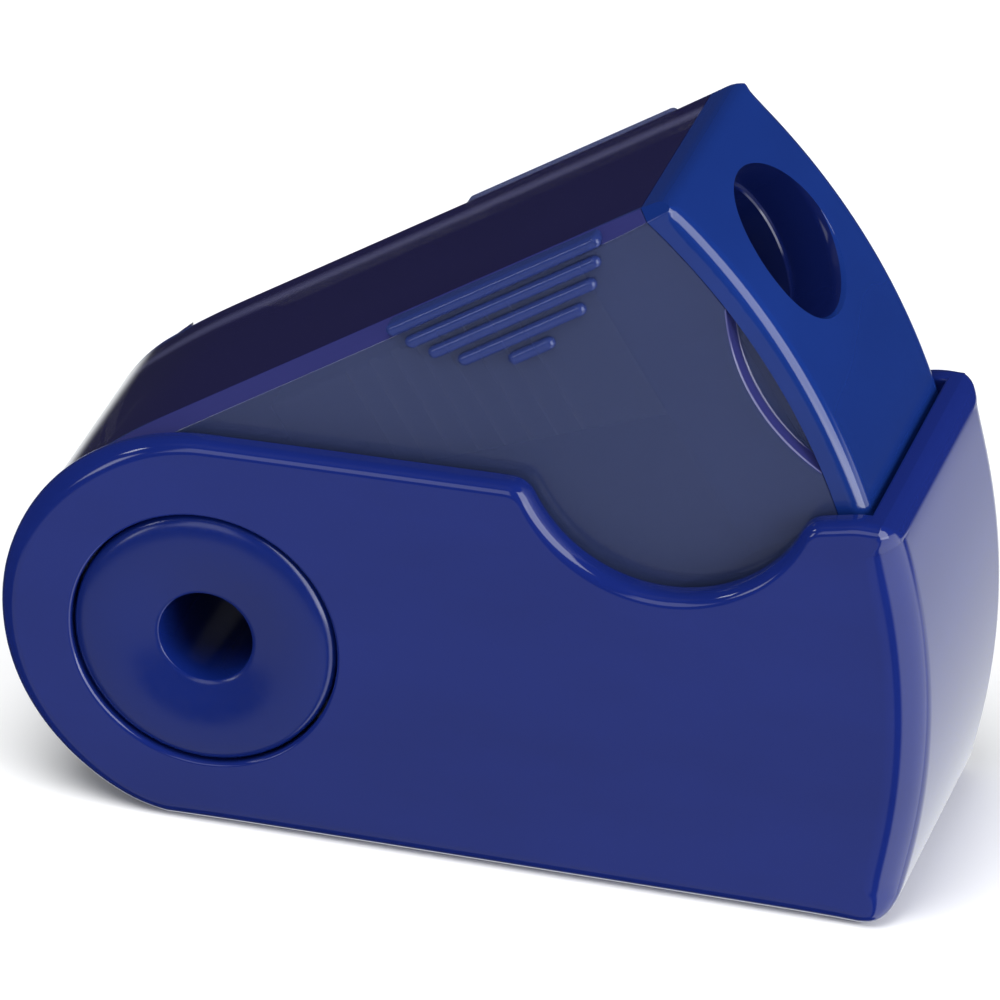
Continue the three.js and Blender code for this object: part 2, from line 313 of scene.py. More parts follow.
def soften(target, width_at, widest, segments=3, sharpest=30, split=True):
    """Rounds each sharp convex edge by the width in millimetres that width_at gives for its middle."""
    weld(target, split)
    bm = bmesh.new()
    bm.from_mesh(target.data)
    layer = bm.edges.layers.float.new("bevel_weight_edge")
    for edge in bm.edges:
        if len(edge.link_faces) != 2 or not edge.is_convex:
            continue
        if edge.calc_face_angle(0) > math.radians(sharpest):
            edge[layer] = min(1.0, width_at((edge.verts[0].co + edge.verts[1].co) / 2) / widest)
    bm.to_mesh(target.data)
    bm.free()
    modifier = target.modifiers.new("soften", "BEVEL")
    modifier.limit_method = "WEIGHT"
    modifier.offset_type = "OFFSET"
    modifier.width = widest
    modifier.segments = segments
    modifier.use_clamp_overlap = False
    modifier.miter_outer = "MITER_SHARP"
    apply_modifiers(target)
    return target


def mirrored(piece):
    """Swaps the near and the far side of a piece."""
    piece.data.transform(Matrix.Scale(-1, 4, (0, 1, 0)))
    piece.data.flip_normals()
    return piece


def moved(piece, x=0.0, y=0.0, z=0.0):
    piece.data.transform(Matrix.Translation((x, y, z)))
    return piece


def place(piece, matrix, crease=32):
    """Puts a finished mesh in the row frame and shades it smooth, except across its sharp edges."""
    piece.data.transform(matrix)
    piece.data.shade_smooth()
    piece.data.set_sharp_from_angle(angle=math.radians(crease))
    modifier = piece.modifiers.new("weighted_normals", "WEIGHTED_NORMAL")
    modifier.keep_sharp = True
    apply_modifiers(piece)


def add_piece(piece, name, body, node, slot, *materials):
    """Names a piece, gives it its materials and lets it stand for its CAD node."""
    upright = Matrix.Translation(HUB) @ Matrix.Scale(MM, 4)
    swing = Matrix.Rotation(math.radians(-OPEN_ANGLE), 4, "Y")
    swung = Matrix.Translation(HUB) @ swing @ Matrix.Scale(MM, 4)
    place(piece, upright if body == SLEEVE_BODY else swung)
    piece.name = name
    marks = [face.material_index for face in piece.data.polygons]
    piece.data.materials.clear()
    for material in materials:
        piece.data.materials.append(material)
    for face, mark in zip(piece.data.polygons, marks):
        face.material_index = min(mark, len(materials) - 1)
    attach(piece, body)
    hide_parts(node)
    return piece


# ---- Sleeve --------------------------------------------------------------------------------------

BASE = -HUB_HEIGHT
HEEL_Z = 0.2
HEEL_RADIUS = 12.5
END_OUTER_RADIUS = 42.6
END_INNER_RADIUS = 41.15
BRIM = (35.4, 13.35)
LIP = (38.6, 14.0)
FLOOR_TOP = 1.4 - HUB_HEIGHT
FLOOR_START = 4.0
NOTCH = {"x": 26.95, "z": 16.2, "radius": 8.75}
INNER_RIM_FILLET = 0.2
END_FILLET = 2.3
BASE_FILLET = 1.35
LIP_FILLET = 0.7
BRIM_FILLET = 0.75
HEEL_EXTRA_FILLET = 0.55
FAR_HEEL_DROP = 0.9
CAVITY_HEIGHT = 30


def sleeve_outline():
    """Side outline of the sleeve: base, curved end wall, lip, brim, thumb notch and round heel."""
    heel_crown = (0, HEEL_Z + HEEL_RADIUS)
    rise = (BRIM[1] - heel_crown[1]) / BRIM[0]
    slope = math.degrees(math.atan(rise))

    def notch_corner(side):
        x = NOTCH["x"] + side * NOTCH["radius"]
        for _ in range(30):
            z = heel_crown[1] + rise * x
            x = NOTCH["x"] + side * reach(NOTCH["radius"], NOTCH["z"] - z)
        return x, heel_crown[1] + rise * x

    right, left = notch_corner(1), notch_corner(-1)
    lip_corner = (reach(END_OUTER_RADIUS, LIP[1]), LIP[1])
    base_corner = (reach(END_OUTER_RADIUS, BASE), BASE)
    angles = [math.degrees(math.atan2(z - NOTCH["z"], x - NOTCH["x"])) for x, z in (right, left)]
    outline = line((12, BASE), base_corner)
    end_angles = [angle_at(END_OUTER_RADIUS, z) for z in (BASE, LIP[1])]
    outline += arc(END_OUTER_RADIUS, *end_angles, step=1.0)
    outline += line(lip_corner, LIP, 0.5) + line(LIP, BRIM, 0.5) + line(BRIM, right, 0.2)
    outline += arc(NOTCH["radius"], angles[0], angles[1], NOTCH["x"], NOTCH["z"], step=2.5)
    heel_start = arc(HEEL_RADIUS, 90 + slope, 180, z=HEEL_Z)[0]
    outline += line(left, heel_start, 1.0)
    heel_end = 180 + angle_at(HEEL_RADIUS, HUB_HEIGHT + HEEL_Z)
    outline += arc(HEEL_RADIUS, 90 + slope, heel_end, z=HEEL_Z, step=2.5)
    outline = without_repeats(outline + line(outline[-1], (12, BASE)))
    for corner, length in ((base_corner, 2.0), (lip_corner, 1.45), (LIP, 1.0), (right, 1.0), (left, 1.1)):
        outline = round_corner(outline, corner, length)
    return outline


def smooth_step(value):
    """Climbs smoothly from 0 to 1 as the value does."""
    value = max(0.0, min(1.0, value))
    return value * value * (3 - 2 * value)


def sleeve_fillet(x, z):
    """How far the outer rim of the sleeve is rounded: widely at its ends, finely along the brim."""
    if math.hypot(x, z) > END_OUTER_RADIUS - 0.05:
        return END_FILLET
    if z < BASE + 0.05:
        return BASE_FILLET
    if z > BRIM[1] - 0.2 and x > BRIM[0] - 1:
        return LIP_FILLET
    return BRIM_FILLET + HEEL_EXTRA_FILLET * smooth_step(-x / 9)


def far_heel_lean(x, z):
    """How far the far wall's outline lies inside the near one's, which lowers its heel a little."""
    return FAR_HEEL_DROP * smooth_step((7 - x) / 9) * smooth_step((z - BASE) / 6)


def hub_hole_cutter():
    """A round bar that widens a little where it leaves the sleeve."""
    rim = [(10, -9), (8.4, -0.1), (8.26, 0), (8.12, 0.05), (8.04, 0.13), (HUB_HOLE_RADIUS, 0.26)]
    flare = [(0, -BEYOND)] + [(radius, max(-BEYOND, depth - SLEEVE_HALF)) for radius, depth in rim]
    return turned(flare + [(radius, -y) for radius, y in reversed(flare)], segments=144)


def make_sleeve():
    """The cover, hollow between its side walls and open along its top and behind its heel."""
    sleeve = rounded_prism(sleeve_outline(), SLEEVE_HALF, sleeve_fillet, lean=far_heel_lean)
    inner = SLEEVE_HALF - WALL
    high = CAVITY_HEIGHT
    cavity = [(FLOOR_START, -high), (FLOOR_START, FLOOR_TOP)]
    cavity += arc(END_INNER_RADIUS, angle_at(END_INNER_RADIUS, FLOOR_TOP), 40, step=1.0)
    cavity += [(reach(END_INNER_RADIUS, 26.4), high), (-high, high), (-high, -high)]
    cut(sleeve, prism(cavity, -inner, inner))
    widest = INNER_RIM_FILLET
    soften(sleeve, lambda p: widest if abs(p.y) < inner + 0.01 else 0, widest, split=False)
    return cut(sleeve, hub_hole_cutter())


# ---- Container and cap: what they share ----------------------------------------------------------

BACK_RADIUS = 12.2
JOINT_HALF_GAP = 0.03


def box_outline(inset, front):
    """Side outline of the swinging box, with a curved front at the given radius."""
    top, bottom, back = BOX_TOP - inset, BOX_BOTTOM + inset, BACK_RADIUS - inset
    crown = (-1.0, math.sqrt(back * back - 1))
    outline = line((-4.5, bottom), (reach(front, bottom), bottom))
    outline += arc(front, angle_at(front, bottom), angle_at(front, top), step=1.0)
    outline += line((reach(front, top), top), (4.5, top)) + bend((4.5, top), (1.6, top), crown, 8)
    return without_repeats(outline + arc(back, 94.7, 225, step=2.5))


def outer_form():
    """The outside of container and cap together, with the chamfers along its two top edges."""

    def rim(x, z):
        if math.hypot(x, z) > CAP_RADIUS - 0.05:
            return 0.4
        if z > BOX_TOP - 0.1:
            return 1.0
        return max(0.15, min(1.0, 0.15 + 0.85 * (x + 4) / 7)) if z > 8 and x < 8 else 0.15

    return rounded_prism(box_outline(0, CAP_RADIUS + 3), BOX_HALF, rim, CHAMFER)


# ---- Container -----------------------------------------------------------------------------------

RIB_HEIGHTS = (12.05, 10.95, 9.85, 8.75, 7.65)
RIB_FIELD = {"x": 27.0, "z": 15.6, "radius": 8.1}
RIB_HALF_WIDTH = 0.38
RIB_PROUD = 0.4
RIB_FILLET = 0.32
NAIL_RECESS = {"x": 49.3, "z": -0.3, "radius": 12.1, "depth": 0.7}
STEM_HOLE_RADIUS = 4.7


def make_rib(height):
    """A pair of low round-ended bars, one on each side of the container."""
    length = reach(RIB_FIELD["radius"], RIB_FIELD["z"] - height) - RIB_HALF_WIDTH
    x = RIB_FIELD["x"]
    outline = arc(RIB_HALF_WIDTH, -90, 90, x + length, height, step=15)
    outline += arc(RIB_HALF_WIDTH, 90, 270, x - length, height, step=15)
    return rounded_prism(outline, BOX_HALF + RIB_PROUD, lambda x, z: RIB_FILLET, spread=0)


def nail_cutter():
    """A shallow round hollow with a sloping rim, turned about its own axis beyond the cap."""
    deep = NAIL_RECESS["depth"]
    slope = [(-0.62, -deep), (-0.48, 0.04 - deep), (-0.38, 0.13 - deep), (-0.16, -0.14), (-0.11, -0.06),
             (-0.04, -0.015), (0.05, 0), (0.3, 0.02), (0.5, 1)]
    profile = [(0, BOX_HALF - deep)]
    profile += [(NAIL_RECESS["radius"] + out, BOX_HALF + up) for out, up in slope]
    profile.append((0, BOX_HALF + 1))
    return moved(turned(profile, segments=360), x=NAIL_RECESS["x"], z=NAIL_RECESS["z"])


def make_container():
    """The hollow shavings box, with a hole for the stems, nail recesses and grip ribs."""
    body = keep_inside(outer_form(), disc(JOINT_RADIUS - JOINT_HALF_GAP))
    inner = BOX_HALF - BOX_WALL
    cut(body, prism(box_outline(BOX_WALL, JOINT_RADIUS + 3), -inner, inner))
    cut(body, disc(STEM_HOLE_RADIUS, segments=48))
    cut(body, nail_cutter(), mirrored(nail_cutter()))
    for height in RIB_HEIGHTS:
        rib = make_rib(height)
        cut(rib, block(0, 60, -inner - 0.3, inner + 0.3, 0, 20))
        join(body, rib)
    return body


# ---- Nose cap ------------------------------------------------------------------------------------

PLUG_START = 31.6
PLUG_WALL = 1.0
PLUG_GAP = 0.1
SNUG = 0.08
CAP_FILLET = 0.92
GAP = 0.3
BORE_LIMIT = 4.95


def make_cap():
    """The opaque front of the box, with its pencil hole and the plug that holds the sharpener."""
    behind = 36
    low_corner, high_corner = [(reach(CAP_RADIUS, z), z) for z in (BOX_BOTTOM, BOX_TOP)]
    outline = line((behind, BOX_BOTTOM), low_corner)
    outline += arc(CAP_RADIUS, angle_at(CAP_RADIUS, BOX_BOTTOM), angle_at(CAP_RADIUS, BOX_TOP), step=1.0)
    outline += line(high_corner, (behind, BOX_TOP))

    def rim(x, z):
        return CAP_FILLET if math.hypot(x, z) > CAP_RADIUS - 0.02 else 0.12

    outline = round_corner(round_corner(outline, low_corner, 0.7), high_corner, 0.9)
    cap = rounded_prism(outline, BOX_HALF, rim, spread=4)
    keep_inside(cap, outer_form())
    cut(cap, disc(JOINT_RADIUS + JOINT_HALF_GAP))
    half = BOX_HALF - BOX_WALL - PLUG_GAP
    bottom, top = BOX_BOTTOM + BOX_WALL + PLUG_GAP, BOX_TOP - BOX_WALL - PLUG_GAP
    face = JOINT_RADIUS + 0.6
    plug_side = [(PLUG_START, bottom)] + arc(face, angle_at(face, bottom), angle_at(face, top), step=2)
    plug_side.append((PLUG_START, top))
    plug = prism(plug_side, -half, half)
    bead = block(behind, behind + 2, -half - SNUG, half + SNUG, bottom - SNUG, top + SNUG)
    join(cap, plug, bead)
    low = face_height(SHARPENER_END)
    socket_half = SHARPENER_HALF + SNUG
    cut(cap, block(PLUG_START - 1, SHARPENER_END + PLUG_GAP, -socket_half, socket_half,
                   low - PLUG_GAP, SHARPENER_TOP + PLUG_GAP))
    cut(cap, block(PLUG_START - 1, JOINT_RADIUS - 1.5, PLUG_WALL - half, half - PLUG_WALL,
                   bottom + PLUG_WALL, low - GAP - PLUG_WALL))
    hole = [(0, 33), (4.35, 33), (4.35, 37.5), (4.42, 37.6), (4.72, 37.62), (4.78, 40.0), (4.82, 40.3),
            (4.93, 40.6), (5.3, 41.1), (6.2, 42), (0, 42)]
    cut(cap, moved(turned(hole, about="X", segments=120), z=PENCIL_HEIGHT))
    # Faces in the pencil hole beyond the sharpener take the darker bore blue, a painted shade in the hole
    for face in cap.data.polygons:
        points = [cap.data.vertices[index].co for index in face.vertices]
        widest = max(math.hypot(p.y, p.z - PENCIL_HEIGHT) for p in points)
        face.material_index = 1 if widest < BORE_LIMIT and face.center.x > SHARPENER_END else 0
    return cap


# ---- Wedge sharpener, blade and screw ------------------------------------------------------------

SCREW_Y = -2.4
CONE_RADIUS = 4.35
TIP_RADIUS = 0.6
GROOVES = {"count": 8, "start": 14.5, "pitch": 1.6, "width": 0.6, "depth": 0.3}
BLADE = {"start": -8.5, "end": 14.5, "back": -4.8, "edge": 0.4, "z": 1.08, "thickness": 0.6}


def face_height(x):
    """Height of the wedge's sloping face at x."""
    return FACE_Z - (x - FACE_X) * math.tan(math.radians(FACE_ANGLE))


def onto_face(piece):
    """Moves a piece from the sloping face's own frame to the box's."""
    turn = Matrix.Rotation(math.radians(FACE_ANGLE), 4, "Y")
    piece.data.transform(Matrix.Translation((FACE_X, 0, FACE_Z)) @ turn)
    return piece


def screw_bar(profile, segments=48):
    """Turns a loop of (radius, height) pairs about the screw's axis."""
    bar = turned(profile, segments=segments)
    bar.data.transform(Matrix.Translation((0, SCREW_Y, 0)) @ Matrix.Rotation(math.radians(90), 4, "X"))
    return bar


def make_block():
    """The metal wedge, with side grooves, conical pencil way, blade seat, thread and shavings mouth."""
    start, end = SHARPENER_START, SHARPENER_END
    side = [(start, face_height(start)), (end, face_height(end))]
    side += [(end, SHARPENER_TOP), (start, SHARPENER_TOP)]
    body = soften(prism(side, -SHARPENER_HALF, SHARPENER_HALF), lambda p: 0.25, 0.25)
    for i in range(GROOVES["count"]):
        x = GROOVES["start"] + i * GROOVES["pitch"]
        floor = SHARPENER_HALF - GROOVES["depth"]
        cut(body, block(x, x + GROOVES["width"], floor, SHARPENER_HALF + 1, -5, 11))
        cut(body, block(x, x + GROOVES["width"], -SHARPENER_HALF - 1, -floor, -5, 11))
    tip_x = end - (CONE_RADIUS - TIP_RADIUS) / math.tan(math.radians(FACE_ANGLE))
    cone = [(0, start - 1), (TIP_RADIUS, start - 1), (TIP_RADIUS, tip_x), (CONE_RADIUS, end),
            (CONE_RADIUS + 0.5, end + 0.5), (0, end + 0.5)]
    cut(body, moved(turned(cone, about="X", segments=72), z=PENCIL_HEIGHT))
    seat_top = BLADE["z"] + BLADE["thickness"] + 0.02
    cut(body, onto_face(block(-24, 29, BLADE["back"] - 0.1, BLADE["edge"] + GAP, -2, seat_top)))
    cut(body, onto_face(screw_bar([(0, -2), (1.2, -2), (1.2, 4.3), (0, 4.3)])))
    return cut(body, block(tip_x, end - 3, BLADE["edge"], BLADE["edge"] + 2.4, -5, PENCIL_HEIGHT))


def make_blade():
    """A flat plate with a ground edge and a hole for the screw."""
    low, high = BLADE["z"], BLADE["z"] + BLADE["thickness"]
    ground = 1.1
    outline = [(BLADE["back"], low), (BLADE["edge"] - ground, low), (BLADE["edge"], high - 0.03),
               (BLADE["edge"], high), (BLADE["back"], high)]
    plate = loft([[(x, y, z) for y, z in outline] for x in (BLADE["start"], BLADE["end"])], "plate")
    return onto_face(cut(plate, screw_bar([(0, 0), (1.35, 0), (1.35, 3), (0, 3)])))


def make_screw():
    """A slotted round-headed screw."""
    top = BLADE["z"] - 0.02
    shank = [(0, 4.0), (0.9, 4.0), (1.15, 3.6), (1.15, top)]
    head = [(2.2, 0), (2.3, 0.12), (2.3, 0.9), (2.24, 1.15), (2.05, 1.33), (1.8, 1.4), (0, 1.4)]
    profile = shank + [(radius, top - depth) for radius, depth in head]
    screw = screw_bar(profile)
    return onto_face(cut(screw, block(-3, 3, SCREW_Y - 0.3, SCREW_Y + 0.3, top - 3, top - 0.85)))


# ---- Hub buttons ---------------------------------------------------------------------------------

EYELET_RADIUS = 2.8
STEM_RADIUS = 4.4
BUTTON_RADIUS = 7.9
BUTTON_PROUD = 0.05
DISH = ((EYELET_RADIUS, 2.2), (EYELET_RADIUS, 0.66), (2.84, 0.56), (2.94, 0.49), (3.15, 0.45),
        (3.6, 0.36), (4.1, 0.25), (4.6, 0.15), (5.2, 0.06), (5.9, 0.01), (6.5, 0.01), (7.0, 0.05),
        (7.4, 0.13), (7.68, 0.26), (7.84, 0.46), (BUTTON_RADIUS, 0.8))


def make_button(side):
    """A dished ring that fills the sleeve's hole, with a hollow stem into the container.

    DISH holds its face from the eyelet outwards, as radius and depth.
    """
    ring = [(radius, SLEEVE_HALF + BUTTON_PROUD - depth) for radius, depth in DISH]
    inside, middle = BOX_HALF + BUTTON_PROUD, 0.02
    back = [(BUTTON_RADIUS, inside), (STEM_RADIUS, inside), (STEM_RADIUS, middle), (EYELET_RADIUS, middle)]
    button = turned(ring + back, segments=128)
    return mirrored(button) if side < 0 else button


# ---- Materials -----------------------------------------------------------------------------------


def add_maths(tree, operation, values):
    """Adds a maths node fed by numbers or by other nodes' outputs, and returns its output."""
    node = tree.nodes.new("ShaderNodeMath")
    node.operation = operation
    for socket, value in zip(node.inputs, values):
        if isinstance(value, float):
            socket.default_value = value
        else:
            tree.links.new(value, socket)
    return node.outputs[0]


class Nodes:
    """A material's node tree, with short calls for the nodes this script uses."""

    def __init__(self, name):
        self.material = bpy.data.materials.new(name)
        self.material.use_nodes = True
        self.tree = self.material.node_tree
        self.shader = self.tree.nodes["Principled BSDF"]
        self.coordinates = self.tree.nodes.new("ShaderNodeTexCoord")

    def add(self, kind, **inputs):
        node = self.tree.nodes.new(kind)
        for name, value in inputs.items():
            node.inputs[name.replace("_", " ")].default_value = value
        return node

    def link(self, source, target):
        self.tree.links.new(source, target)

    def noise(self, scale, detail=2.0, stretch=(1, 1, 1), roughness=0.5):
        mapping = self.add("ShaderNodeMapping", Scale=stretch)
        self.link(self.coordinates.outputs["Object"], mapping.inputs["Vector"])
        noise = self.add("ShaderNodeTexNoise", Scale=scale, Detail=detail, Roughness=roughness)
        self.link(mapping.outputs["Vector"], noise.inputs["Vector"])
        return noise.outputs["Fac"]

    def remap(self, value, low, high, start=0.3, end=0.7):
        node = self.add("ShaderNodeMapRange")
        self.link(value, node.inputs["Value"])
        for name, number in (("From Min", start), ("From Max", end), ("To Min", low), ("To Max", high)):
            node.inputs[name].default_value = number
        return node.outputs["Result"]

    def maths(self, operation, *values):
        return add_maths(self.tree, operation, values)

    def further_out(self, across, distance):
        """1 where a point lies further than this many millimetres from the middle plane, else 0."""
        out = self.maths("ABSOLUTE", across)
        return self.remap(out, 0, 1, (distance + 0.02) * MM, (distance + 0.06) * MM)

    def split(self, vector):
        node = self.tree.nodes.new("ShaderNodeSeparateXYZ")
        self.link(vector, node.inputs["Vector"])
        return node.outputs

    def blend(self, factor, first, second):
        node = self.tree.nodes.new("ShaderNodeMix")
        node.data_type = "RGBA"
        self.link(factor, node.inputs["Factor"])
        for socket, value in (("A", first), ("B", second)):
            target = [s for s in node.inputs if s.name == socket and s.type == "RGBA"][0]
            if isinstance(value, tuple):
                target.default_value = (*value, 1.0)
            else:
                self.link(value, target)
        return [s for s in node.outputs if s.type == "RGBA"][0]

    def bump(self, height, strength, distance):
        node = self.add("ShaderNodeBump", Strength=strength, Distance=distance)
        self.link(height, node.inputs["Height"])
        self.link(node.outputs["Normal"], self.shader.inputs["Normal"])

    def set(self, **inputs):
        for name, value in inputs.items():
            socket = self.shader.inputs[name.replace("_", " ")]
            if isinstance(value, bpy.types.NodeSocket):
                self.link(value, socket)
            else:
                socket.default_value = (*value, 1.0) if isinstance(value, tuple) else value


def moulded_plastic(name, colour, roughness):
    """Glossy moulded plastic: slight flow marks in its colour, faint rub marks and a slow ripple."""
    n = Nodes(name)
    cloud = n.noise(60.0, 3.0, (1, 1, 2.5))
    dark = tuple(c * 0.93 for c in colour)
    light = tuple(min(1.0, c * 1.07) for c in colour)
    n.set(Base_Color=n.blend(n.remap(cloud, 0, 1), dark, light))
    rubs = n.noise(350.0, 3.0, (1, 6, 9))
    n.set(Roughness=n.remap(rubs, roughness * 0.9, roughness * 1.2, 0.35, 0.75))
    n.bump(n.noise(180.0, 0.0), 0.06, 0.00002)
    n.set(IOR=1.5)
    return n.material


# Where a painted pale streak of light runs along the top, across the box
LIT_STREAK_AT = 0.0053
RIB_STRIP = 0.95
CROWN_OPACITY = 0.98
FLANK_OPACITY = 0.62
RIB_EXTRA_OPACITY = 0.18


def smoky_plastic(name):
    """Smoky plastic, see-through at its sides, with light and shade painted into its colour by which way
    each face turns: painted shade makes the top indigo, painted light makes the chamfers violet and
    painted light through the walls makes the sides grey-blue.

    The ribs are less see-through than the sides and painted bluer as if lit, and a painted pale streak of
    light runs along the top.
    """
    n = Nodes(name)
    facing = n.split(n.coordinates.outputs["Normal"])[1]
    across = n.split(n.coordinates.outputs["Object"])[1]
    sideways = n.maths("ABSOLUTE", facing)
    off_crown = n.remap(sideways, 0, 1, 0.30, 0.55)
    on_flank = n.remap(sideways, 0, 1, 0.84, 0.97)
    # A painted pale streak of light along the top
    lit_streak = n.remap(n.maths("ABSOLUTE", n.maths("SUBTRACT", across, LIT_STREAK_AT)), 0.8, 0, 0.0002, 0.0010)
    # Painted bluer light on the ribs and on the up-facing faces near the sides
    near_edge = n.further_out(across, BOX_HALF - RIB_STRIP)
    lit_rib_top = n.maths("MULTIPLY", near_edge, n.remap(sideways, 1, 0, 0.30, 0.40))
    rib = n.maths("MAXIMUM", n.further_out(across, BOX_HALF), lit_rib_top)
    cloud = n.remap(n.noise(45.0, 3.0), 0, 1)
    # Colours by facing of one plastic: painted shade on the top, painted light on the chamfers and the
    # sides
    crown = n.blend(cloud, (0.0062, 0.0054, 0.040), (0.0072, 0.0062, 0.046))
    crown = n.blend(lit_streak, crown, (0.060, 0.060, 0.135))
    lit_chamfer = n.blend(cloud, (0.0230, 0.0250, 0.112), (0.0250, 0.0275, 0.122))
    lit_flank = n.blend(cloud, (0.0305, 0.0430, 0.114), (0.0340, 0.0465, 0.121))
    colour = n.blend(on_flank, n.blend(off_crown, crown, lit_chamfer), lit_flank)
    n.set(Base_Color=n.blend(rib, colour, (0.019, 0.034, 0.150)))
    n.set(Roughness=n.remap(n.noise(200.0, 2.0, (1, 2, 2)), 0.06, 0.09, 0.35, 0.75))
    clear = n.remap(n.maths("MAXIMUM", on_flank, rib), CROWN_OPACITY, FLANK_OPACITY, 0, 1)
    n.set(Alpha=n.maths("ADD", clear, n.maths("MULTIPLY", rib, RIB_EXTRA_OPACITY)), IOR=1.5)
    n.bump(n.noise(150.0, 0.0), 0.08, 0.00002)
    return n.material


def satin_plastic(name, colour):
    """Spark-eroded satin plastic."""
    n = Nodes(name)
    cloud = n.noise(80.0, 3.0)
    n.set(Base_Color=n.blend(n.remap(cloud, 0, 1), tuple(c * 0.92 for c in colour), colour))
    n.set(Roughness=n.remap(n.noise(2500.0, 3.0), 0.16, 0.22, 0.35, 0.7), IOR=1.5)
    n.bump(n.noise(6000.0, 2.0), 0.1, 0.00001)
    return n.material


def milled_metal(name, colour, roughness, stretch, scale):
    """Metal with fine parallel cutter marks."""
    n = Nodes(name)
    marks = n.noise(scale, 3.0, stretch, 0.6)
    n.set(Base_Color=n.blend(n.remap(marks, 0, 1), tuple(c * 0.8 for c in colour), colour))
    n.set(Roughness=n.remap(marks, roughness * 0.8, roughness * 1.3, 0.3, 0.7), Metallic=1.0)
    n.bump(marks, 0.2, 0.00002)
    return n.material


# ---- Stage ---------------------------------------------------------------------------------------

TARGET = HUB + Vector((14.7, 0, 6.4)) * MM
VIEW_AZIMUTH = 15.2
VIEW_ELEVATION = 28.1
VIEW_ROLL = 1.4
VIEW_DISTANCE = 0.635
LENS = 396.0
FLOOR_HALF = 3.0


def direction(azimuth, elevation):
    """Unit vector from the object towards a viewer."""
    a, e = math.radians(azimuth), math.radians(elevation)
    return Vector((math.sin(a) * math.cos(e), -math.cos(a) * math.cos(e), math.sin(e)))


def aimed(azimuth, elevation, distance):
    """The placing of a camera or lamp that looks at the target from this side."""
    back = direction(azimuth, elevation)
    turn = (-back).to_track_quat("-Z", "Y").to_matrix().to_4x4()
    return Matrix.Translation(TARGET + back * distance) @ turn


def make_camera():
    camera = bpy.data.objects.new("camera", bpy.data.cameras.new("camera"))
    bpy.context.scene.collection.objects.link(camera)
    roll = Matrix.Rotation(math.radians(VIEW_ROLL), 4, "Z")
    camera.matrix_world = aimed(VIEW_AZIMUTH, VIEW_ELEVATION, VIEW_DISTANCE) @ roll
    camera.data.lens = LENS
    camera.data.clip_start = 0.01
    camera.data.clip_end = 20
    bpy.context.scene.camera = camera


def make_floor():
    """A plain pale floor. The object's shine comes from the studio panels of the world instead."""
    bm = bmesh.new()
    corners = ((-1, -1), (1, -1), (1, 1), (-1, 1))
    bm.faces.new([bm.verts.new((x * FLOOR_HALF, y * FLOOR_HALF, 0)) for x, y in corners])
    floor = new_object("floor", bm)
    n = Nodes("floor")
    n.set(Base_Color=(0.90, 0.90, 0.90), Roughness=0.8)
    n.shader.inputs["Specular IOR Level"].default_value = 0.0
    floor.data.materials.append(n.material)
    floor.visible_glossy = False


def make_light(name, azimuth, elevation, distance, size, power):
    lamp = bpy.data.lights.new(name, "AREA")
    lamp.shape = "DISK"
    lamp.size = size
    lamp.energy = power
    made = bpy.data.objects.new(name, lamp)
    bpy.context.scene.collection.objects.link(made)
    made.matrix_world = aimed(azimuth, elevation, distance)
    made.visible_camera = False
    made.visible_glossy = False


# The studio that the shiny plastic mirrors: panels of light by azimuth and elevation, in degrees
PANELS = (
    {"azimuth": -15, "width": 70, "low": -66, "high": -20, "soft": 8, "light": 0.42},
    {"azimuth": -15, "width": 22, "low": 4, "high": 34, "soft": 6, "light": 1.4},
    {"azimuth": 165, "width": 84, "low": -72, "high": -15, "soft": 6, "light": 1.0},
    {"azimuth": 83, "width": 84, "low": -72, "high": 4, "soft": 10, "light": 1.8},
    {"azimuth": 60, "width": 54, "low": -8, "high": 48, "soft": 6, "light": 4.5},
    {"azimuth": -39, "width": 9, "low": -2, "high": 14, "soft": 4, "light": 3.5},
    {"azimuth": -56, "width": 7, "low": 28, "high": 37, "soft": 3, "light": 9.0},
    {"azimuth": -27, "width": 70, "low": 48, "high": 72, "soft": 14, "light": 0.12},
)
DARK_STUDIO = 0.03
AMBIENT = 0.6


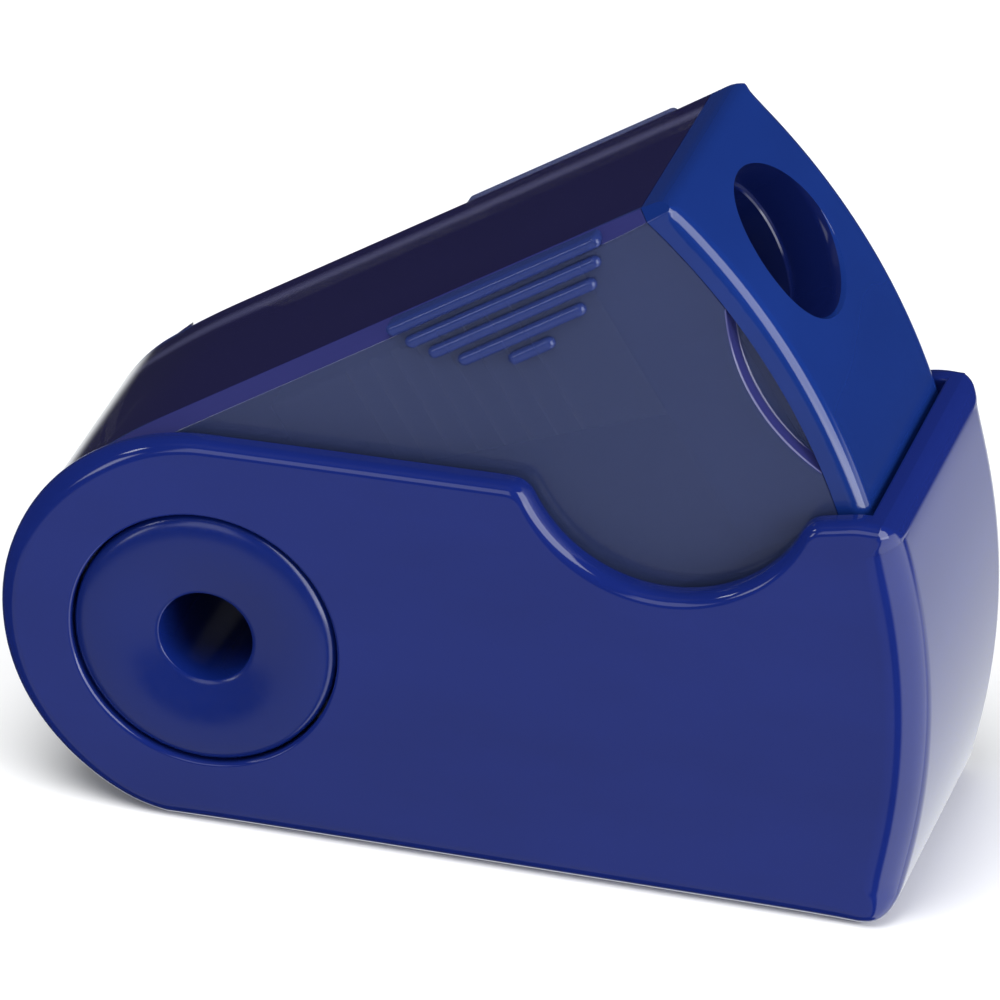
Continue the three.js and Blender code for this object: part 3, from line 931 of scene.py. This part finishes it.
class Studio:
    """The world's node tree: even light on dull surfaces, panels for what shiny surfaces mirror."""

    def __init__(self):
        world = bpy.data.worlds.new("studio")
        bpy.context.scene.world = world
        world.use_nodes = True
        self.tree = world.node_tree
        parts = self.tree.nodes.new("ShaderNodeSeparateXYZ")
        coordinates = self.tree.nodes.new("ShaderNodeTexCoord")
        self.tree.links.new(coordinates.outputs["Generated"], parts.inputs["Vector"])
        x, y, z = parts.outputs
        azimuth = self.maths("ARCTAN2", x, self.maths("MULTIPLY", y, -1.0))
        self.azimuth = self.maths("DEGREES", azimuth)
        self.elevation = self.maths("DEGREES", self.maths("ARCSINE", z))

    def maths(self, operation, *values):
        return add_maths(self.tree, operation, values)

    def ramp(self, value, start, end):
        """Climbs smoothly from 0 to 1 between start and end."""
        node = self.tree.nodes.new("ShaderNodeMapRange")
        node.interpolation_type = "SMOOTHSTEP"
        self.tree.links.new(value, node.inputs["Value"])
        node.inputs["From Min"].default_value = start
        node.inputs["From Max"].default_value = end
        return node.outputs["Result"]

    def panel(self, azimuth, width, low, high, soft, light):
        """The brightness of one panel in every direction, with soft edges."""
        turned_by = self.maths("WRAP", self.maths("SUBTRACT", self.azimuth, float(azimuth)), 180.0, -180.0)
        aside = self.maths("ABSOLUTE", turned_by)
        sides = self.ramp(aside, width / 2 + soft / 2, width / 2 - soft / 2)
        bottom = self.ramp(self.elevation, low - soft / 2, low + soft / 2)
        top = self.ramp(self.elevation, high + soft / 2, high - soft / 2)
        inside = self.maths("MULTIPLY", self.maths("MULTIPLY", sides, bottom), top)
        return self.maths("MULTIPLY", inside, float(light))

    def build(self):
        mirrored_light = DARK_STUDIO
        for settings in PANELS:
            mirrored_light = self.maths("ADD", self.panel(**settings), mirrored_light)
        path = self.tree.nodes.new("ShaderNodeLightPath")
        choose = self.tree.nodes.new("ShaderNodeMix")
        self.tree.links.new(path.outputs["Is Glossy Ray"], choose.inputs["Factor"])
        choose.inputs["A"].default_value = AMBIENT
        self.tree.links.new(mirrored_light, choose.inputs["B"])
        background = self.tree.nodes["Background"]
        background.inputs["Color"].default_value = (0.96, 0.98, 1.0, 1.0)
        self.tree.links.new(choose.outputs["Result"], background.inputs["Strength"])


def make_stage():
    make_floor()
    Studio().build()
    make_light("overhead", -20, 68, 0.5, 0.35, 2.0)
    make_light("right_panel", 70, 14, 0.45, 0.30, 2.2)
    make_camera()
    view = bpy.context.scene.view_settings
    view.view_transform = "Standard"
    view.look = "None"


# ---- Assembly ------------------------------------------------------------------------------------

blue = moulded_plastic("sleeve_blue", (0.0055, 0.0136, 0.115), 0.06)
cap_blue = moulded_plastic("cap_blue", (0.0050, 0.0200, 0.129), 0.08)
# A darker copy of the cap blue: painted shade for the inside of the pencil hole
shaded_bore_blue = moulded_plastic("shaded_bore_blue", (0.0030, 0.0065, 0.052), 0.12)
smoke = smoky_plastic("container_smoke")
satin = satin_plastic("button_satin", (0.0035, 0.0120, 0.110))
light_alloy = milled_metal("block_metal", (0.46, 0.47, 0.50), 0.42, (1, 1, 14), 500.0)
ground_steel = milled_metal("blade_steel", (0.62, 0.63, 0.65), 0.25, (1, 18, 1), 600.0)
plated_steel = milled_metal("screw_steel", (0.70, 0.70, 0.72), 0.28, (1, 1, 1), 900.0)

add_piece(make_sleeve(), "sleeve_shell", SLEEVE_BODY, "sleeve", "sleeve_blue", blue)
add_piece(make_container(), "shavings_box", BOX_BODY, "container", "container_smoke", smoke)
add_piece(make_cap(), "nose", BOX_BODY, "nose_cap", "cap_blue", cap_blue, shaded_bore_blue)
add_piece(make_block(), "wedge_sharpener", BOX_BODY, "sharpener_block", "block_metal", light_alloy)
add_piece(make_blade(), "steel_blade", BOX_BODY, "blade", "blade_steel", ground_steel)
add_piece(make_screw(), "steel_screw", BOX_BODY, "blade_screw", "screw_steel", plated_steel)
add_piece(make_button(-1), "near_hub_disc", BOX_BODY, "near_hub_button", "button_satin", satin)
add_piece(make_button(1), "far_hub_disc", BOX_BODY, "far_hub_button", "button_satin", satin)

make_stage()
